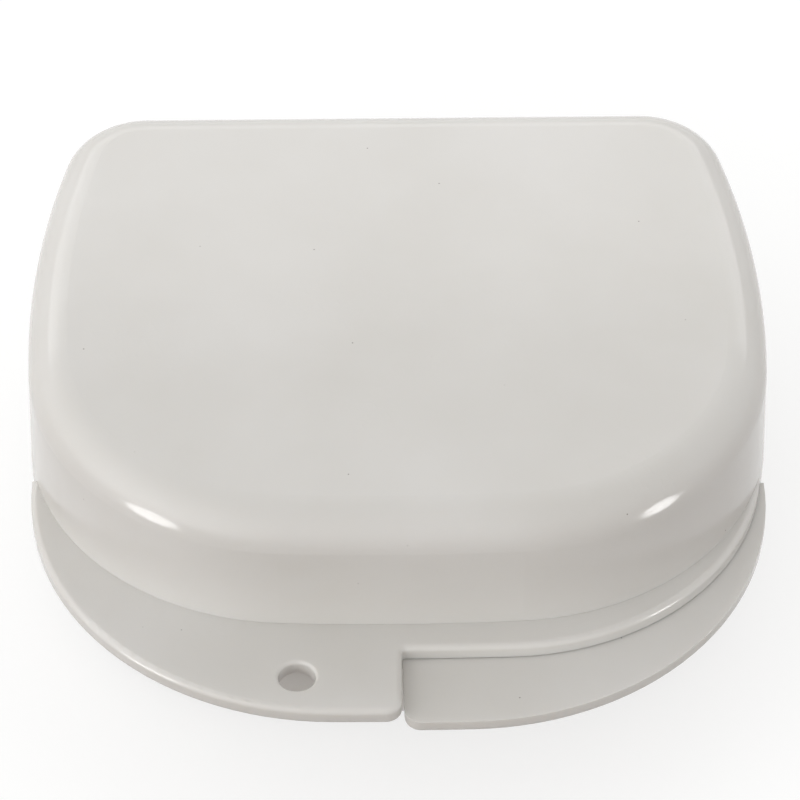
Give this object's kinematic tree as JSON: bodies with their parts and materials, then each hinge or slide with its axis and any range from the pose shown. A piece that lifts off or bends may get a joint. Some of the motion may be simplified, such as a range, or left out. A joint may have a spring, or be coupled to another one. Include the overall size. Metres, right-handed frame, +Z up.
{
  "type": "denture case",
  "caption": "Shallow D-shaped pocket case for a denture: a base and a lid hinged at the back, with offset thumb lips along the front and a tag hole.",
  "frame": {"origin": "on the base's flat underside, on the centre line, below the station where the body is widest", "axes": "+Z up through the lid's flat top, +Y towards the hinges at the back, -Y towards the thumb lips, +X to the right seen from the front"},
  "size_m": [0.077, 0.0815, 0.0306],
  "materials": {
    "base_plastic": "milky off-white moulded polypropylene, glossy",
    "lid_plastic": "milky off-white moulded polypropylene, glossy",
    "pin_steel": "drawn stainless wire, cut to length"
  },
  "bodies": {
    "base": {"base_shell": "base_plastic", "hinge_pin_left": "pin_steel"},
    "lid": {"lid_shell": "lid_plastic", "hinge_pin_right": "pin_steel"}
  },
  "joints": [
    {"name": "lid_hinge", "type": "hinge", "parent": "base", "child": "lid", "pos_m": [0, 0.0342, 0.0153], "axis": [-1, 0, 0], "range_deg": [0, 180]}
  ]
}
